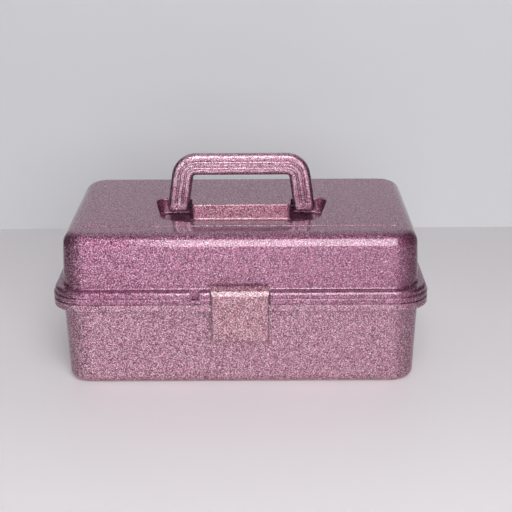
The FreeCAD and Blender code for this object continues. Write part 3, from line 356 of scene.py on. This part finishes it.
def flat_stage(name, corners, material):
    """One four-sided face through the corners, which isn't part of the object."""
    mesh = bpy.data.meshes.new(name)
    mesh.from_pydata(corners, [], [(0, 1, 2, 3)])
    mesh.materials.append(material)
    sheet = bpy.data.objects.new(name, mesh)
    bpy.context.scene.collection.objects.link(sheet)


def with_glow(tree, shader, colour, strength):
    """Adds a plain glow that only camera, glossy and transmission rays see, not diffuse ones."""
    rays = add_node(tree, "ShaderNodeLightPath")
    seen = rays.outputs["Is Camera Ray"]
    for kind in ("Is Glossy Ray", "Is Transmission Ray"):
        seen = add_node(tree, "ShaderNodeMath", {0: seen, 1: rays.outputs[kind]},
                        operation="MAXIMUM").outputs[0]
    amount = add_node(tree, "ShaderNodeMath", {0: seen, 1: strength}, operation="MULTIPLY")
    glow = add_node(tree, "ShaderNodeEmission", {"Color": colour, "Strength": amount.outputs[0]})
    return add_node(tree, "ShaderNodeAddShader", {0: shader, 1: glow.outputs[0]}).outputs[0]


def painted_shade_aside(tree, parts, middle, shaded_end):
    """Painted shade: the middle colour, turning to the dark end colour between two distances from
    the room's middle.
    """
    aside = add_node(tree, "ShaderNodeMath", {0: parts.outputs["X"]}, operation="ABSOLUTE")
    share = add_node(tree, "ShaderNodeMapRange", {
        "Value": aside.outputs[0], "From Min": SHADE_START, "From Max": SHADE_STOP},
        interpolation_type="SMOOTHSTEP")
    return add_node(tree, "ShaderNodeValToRGB", {"Fac": share.outputs["Result"]},
                    stops=[(0, middle), (1, shaded_end)]).outputs["Color"]


print("tones turn dark from", SHADE_START, "to", SHADE_STOP, "m aside")

# %% Table
WALL_Y = 0.376
REACH = 8
TABLE_GLOW = 0.2
# Painted shade: the tone at the table's rear, as a share of the tone at its front.
TABLE_REAR_SHADE = 0.7
LAMINATE_ROUGHNESS = 0.5
GLOSS_SWING = 0.1
GLOSS_DRIFT_MM = 250


def table_laminate(name, middle, shaded_end):
    """Laminate with a slow drift of gloss; painted shade sinks its tone towards the rear and the
    sides.
    """
    material, tree, output = new_material(name)
    place = add_node(tree, "ShaderNodeTexCoord").outputs["Object"]
    parts = add_node(tree, "ShaderNodeSeparateXYZ", {0: place})
    tone = painted_shade_aside(tree, parts, middle, shaded_end)
    rear_shade = add_node(tree, "ShaderNodeMapRange", {
        "Value": parts.outputs["Y"], "From Min": -WALL_Y, "From Max": WALL_Y,
        "To Min": 1, "To Max": TABLE_REAR_SHADE})
    rear_shaded = add_node(tree, "ShaderNodeVectorMath", {"Vector": tone, "Scale": rear_shade.outputs["Result"]},
                    operation="SCALE")
    drift = add_node(tree, "ShaderNodeTexNoise", {
        "Vector": place, "Scale": 1 / (GLOSS_DRIFT_MM * MM), "Detail": 2})
    rough = add_node(tree, "ShaderNodeMapRange", {
        "Value": drift.outputs["Fac"], "To Min": LAMINATE_ROUGHNESS * (1 - GLOSS_SWING),
        "To Max": LAMINATE_ROUGHNESS * (1 + GLOSS_SWING)})
    shader = add_node(tree, "ShaderNodeBsdfPrincipled", {
        "Base Color": rear_shaded.outputs[0], "Roughness": rough.outputs["Result"]})
    lit = with_glow(tree, shader.outputs[0], rear_shaded.outputs[0], TABLE_GLOW)
    tree.links.new(lit, output.inputs["Surface"])
    return material


flat_stage("table", [(-REACH, -REACH, 0), (REACH, -REACH, 0), (REACH, WALL_Y, 0),
                     (-REACH, WALL_Y, 0)],
           table_laminate("white_table_laminate", "#F2EEF0", "#48464A"))
print("table", 2 * REACH, "m wide")

# %% [markdown]
# ## Wall
# The wall is matt paint, with painted shade towards its sides. Above the view its glow grows, which
# lightens the top of the lid, because the lid mirrors that part of the wall. It could be one side
# of a closed room, but a single wall that is clear from its back leaves the case open to a look
# from behind.

# %% Wall
WALL_GLOW = 0.16
CLIMB_START, CLIMB_STOP = 0.32, 0.9
CLIMB_GAIN = 2.4
PAINT_ROUGHNESS = 0.9
PAINT_SPECULAR = 0.2


def wall_paint(name, middle, shaded_end):
    """Matt paint, seen from the front alone, darkened by painted shade to its sides; its glow grows
    with height.
    """
    material, tree, output = new_material(name)
    place = add_node(tree, "ShaderNodeTexCoord").outputs["Object"]
    parts = add_node(tree, "ShaderNodeSeparateXYZ", {0: place})
    tone = painted_shade_aside(tree, parts, middle, shaded_end)
    climb = add_node(tree, "ShaderNodeMapRange", {
        "Value": parts.outputs["Z"], "From Min": CLIMB_START, "From Max": CLIMB_STOP,
        "To Min": 1, "To Max": CLIMB_GAIN})
    bright = add_node(tree, "ShaderNodeVectorMath",
                      {"Vector": tone, "Scale": climb.outputs["Result"]}, operation="SCALE")
    shader = add_node(tree, "ShaderNodeBsdfPrincipled", {
        "Base Color": tone, "Roughness": PAINT_ROUGHNESS, "Specular IOR Level": PAINT_SPECULAR})
    lit = with_glow(tree, shader.outputs[0], bright.outputs[0], WALL_GLOW)
    behind = add_node(tree, "ShaderNodeNewGeometry").outputs["Backfacing"]
    clear = add_node(tree, "ShaderNodeBsdfTransparent")
    mix = add_node(tree, "ShaderNodeMixShader", {0: behind, 1: lit, 2: clear.outputs[0]})
    tree.links.new(mix.outputs[0], output.inputs["Surface"])
    return material


flat_stage("wall", [(-REACH, WALL_Y, 0), (REACH, WALL_Y, 0), (REACH, WALL_Y, REACH),
                    (-REACH, WALL_Y, REACH)],
           wall_paint("pale_grey_wall_paint", "#D2D2D5", "#3C3C40"))
print("wall at", WALL_Y, "m")

# %% [markdown]
# ## Lamps
# Two large softboxes stand one above the other behind the camera, slightly to its right, like one
# tall window. The lower one lights the front of the case and the table right up to it. The upper
# one draws the bright line along every rounded edge that faces up and forward. One bigger box
# could do both, but two can be placed and dimmed one by one.

# %% Lamps
BOX_WIDTH, BOX_HEIGHT = 1.2, 1.3
LAMP_TARGET = Vector((0, 0, 0.08))


def softbox(name, place, watts):
    """A rectangular area lamp at a place in metres, turned to the case and hidden from view."""
    data = bpy.data.lights.new(name, "AREA")
    data.shape = "RECTANGLE"
    data.size = BOX_WIDTH
    data.size_y = BOX_HEIGHT
    data.energy = watts
    lamp = bpy.data.objects.new(name, data)
    lamp.location = place
    lamp.rotation_euler = (LAMP_TARGET - Vector(place)).to_track_quat("-Z", "Y").to_euler()
    lamp.visible_camera = False
    bpy.context.scene.collection.objects.link(lamp)


softbox("lower_softbox", (0.3, -2.45, 0.85), 30)
softbox("upper_softbox", (0.3, -1.78, 1.92), 26)
print("lamps:", [lamp.name for lamp in bpy.data.lights])

# %% [markdown]
# ## Room light
# The room itself gives a little light from the front and the back and almost none from the sides.
# A plain grey world would be simpler, but it would fill the dark edges at both ends of the case.

# %% Room light
ROOM_TONES = [(0.3, "#A4A4A8"), (0.75, "#1C1A1E")]
ROOM_STRENGTH = 0.5

world = bpy.data.worlds.new("studio")
world.use_nodes = True
bpy.context.scene.world = world
sky = world.node_tree
sky.nodes.clear()
look = add_node(sky, "ShaderNodeTexCoord").outputs["Generated"]
parts = add_node(sky, "ShaderNodeSeparateXYZ", {0: look})
aside = add_node(sky, "ShaderNodeMath", {0: parts.outputs["X"]}, operation="ABSOLUTE")
room = add_node(sky, "ShaderNodeValToRGB", {"Fac": aside.outputs[0]}, stops=ROOM_TONES)
backdrop = add_node(sky, "ShaderNodeBackground", {
    "Color": room.outputs["Color"], "Strength": ROOM_STRENGTH})
add_node(sky, "ShaderNodeOutputWorld", {"Surface": backdrop.outputs[0]})
bpy.context.scene.view_settings.view_transform = "Standard"
print("room light at strength", ROOM_STRENGTH)
